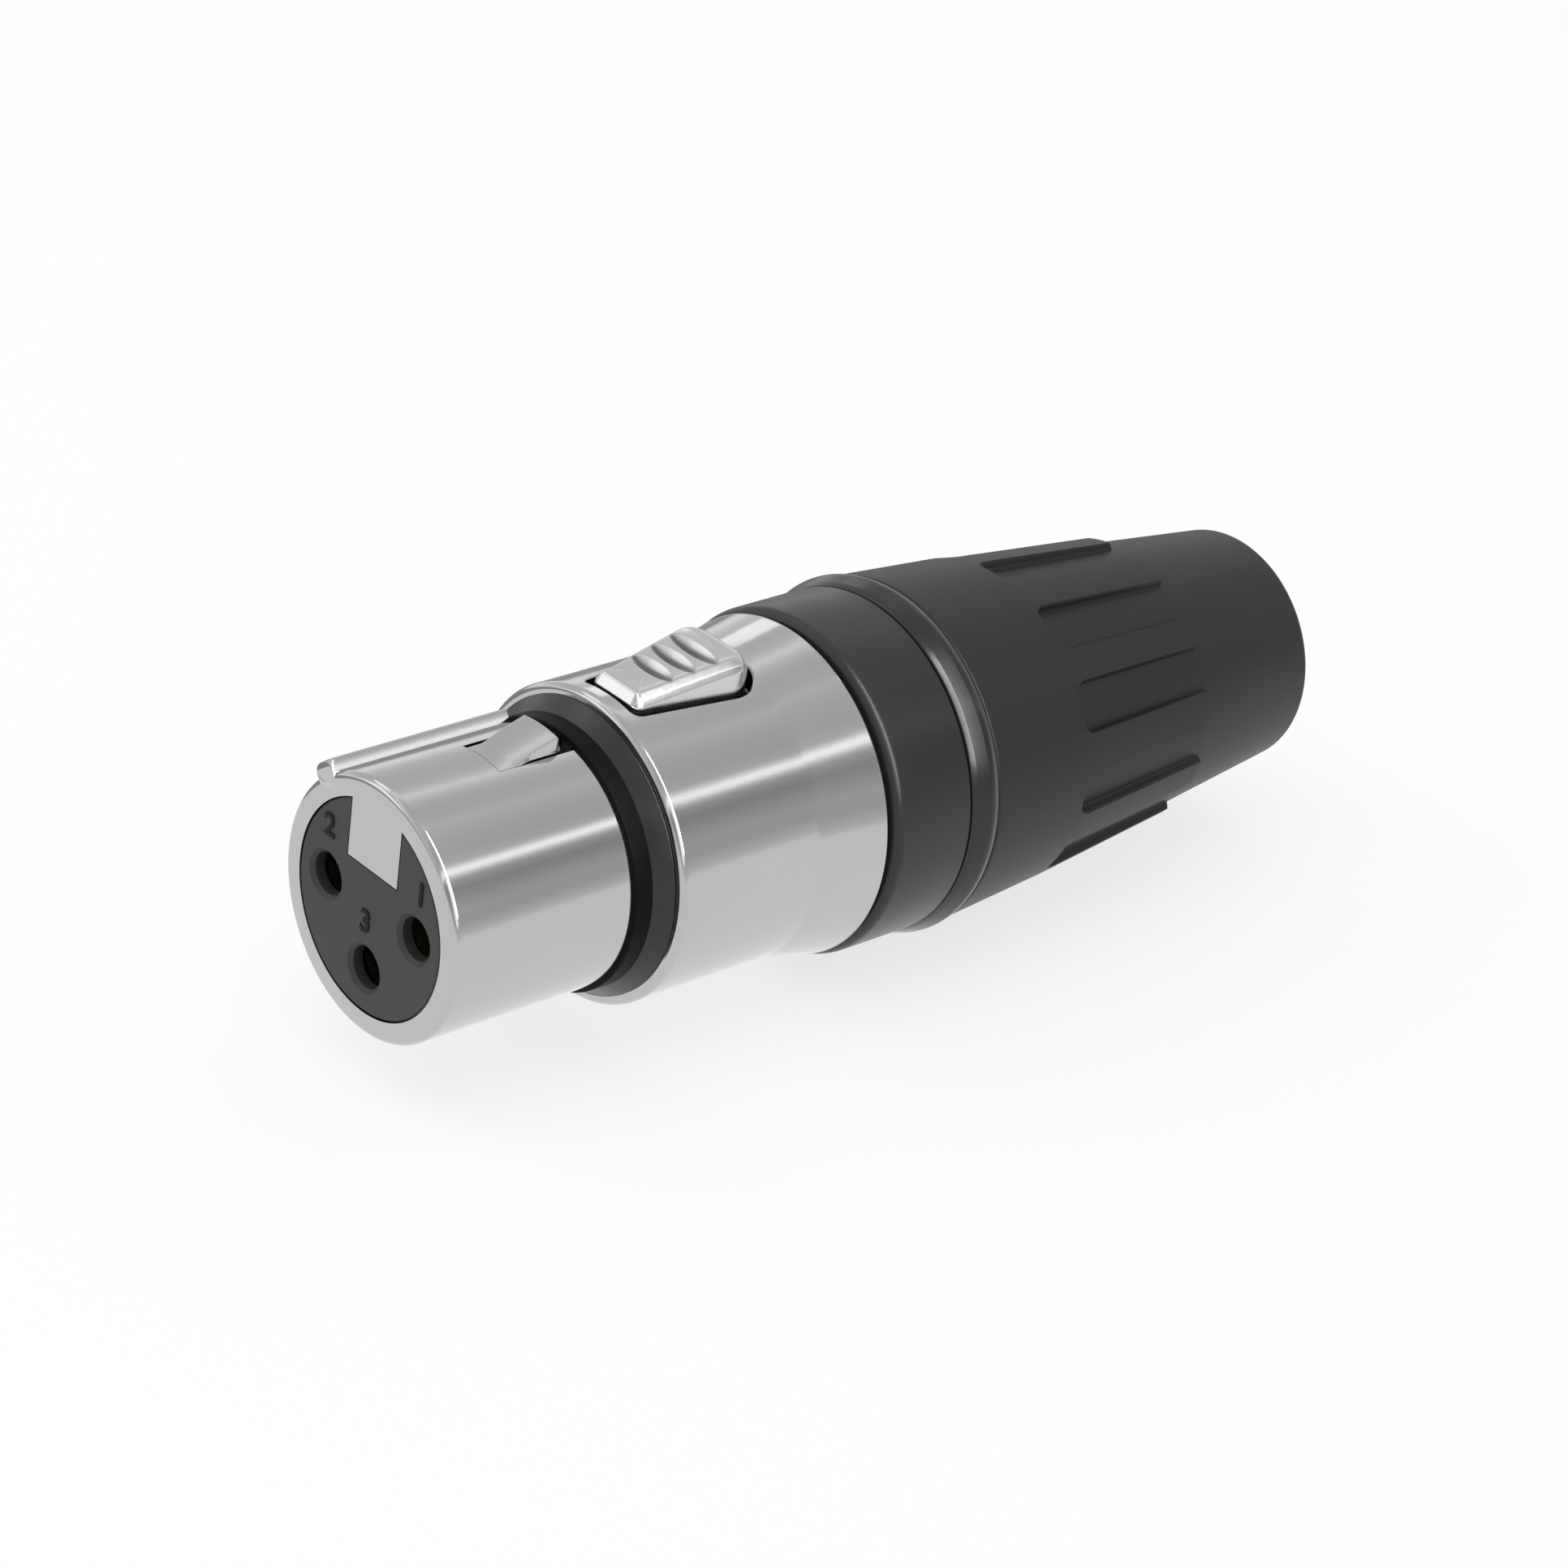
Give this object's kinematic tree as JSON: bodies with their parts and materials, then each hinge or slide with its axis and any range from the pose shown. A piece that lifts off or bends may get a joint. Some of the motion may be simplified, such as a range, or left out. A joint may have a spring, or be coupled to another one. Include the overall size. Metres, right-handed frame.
{
  "type": "female xlr cable connector",
  "caption": "Round female audio cable connector with a plated barrel, keyed nose, sprung push latch, dark contact insert and a black screw-on cable boot.",
  "frame": {"origin": "centre of the mating face, on the connector's axis", "axes": "+Y along the axis from the mating face to the cable end, +Z towards the latch and its button, +X to the right seen from the front, where contact 1 is"},
  "size_m": [0.0226, 0.0694, 0.0226],
  "materials": {
    "nickel": "satin nickel plate on zinc",
    "latch_nickel": "nickel plate on a cast lever",
    "insert_plastic": "matt moulded",
    "ring_rubber": "smooth, slightly glossy",
    "collar_plastic": "satin",
    "boot_rubber": "matt",
    "contact_brass": "thin gold plate",
    "chuck_plastic": "natural moulded",
    "spring_steel": "plain strip and wire"
  },
  "bodies": {
    "housing": {"shell": "nickel", "shoulder_ring": "ring_rubber", "insert": "insert_plastic", "insert_cap": "insert_plastic", "contact_1": "contact_brass", "contact_2": "contact_brass", "contact_3": "contact_brass", "shell_ground_ring": "spring_steel", "latch_pin": "spring_steel", "latch_spring": "spring_steel", "coding_ring": "collar_plastic"},
    "latch": {"latch_lever": "latch_nickel"},
    "chuck": {"chuck": "chuck_plastic"},
    "boot": {"bushing": "collar_plastic", "boot": "boot_rubber"}
  },
  "joints": [
    {"name": "latch_press", "type": "hinge", "parent": "housing", "child": "latch", "pos_m": [0, 0.0273, 0.0069], "axis": [1, 0, 0], "range_deg": [0, 4.6], "stiffness_Nm_per_rad": 0.3, "springref_deg": -2.29, "deforming": ["latch_spring"]},
    {"name": "chuck_slide", "type": "slide", "parent": "housing", "child": "chuck", "axis": [0, 1, 0], "range_m": [0, 0.004]},
    {"name": "boot_turn", "type": "hinge", "parent": "chuck", "child": "boot", "pos_m": [0, 0.045, 0], "axis": [0, 1, 0], "range_deg": [0, 1445]}
  ],
  "couplings": [
    {"joint": "boot_turn", "follows": "chuck_slide", "rad_per_m": 6283.2}
  ]
}
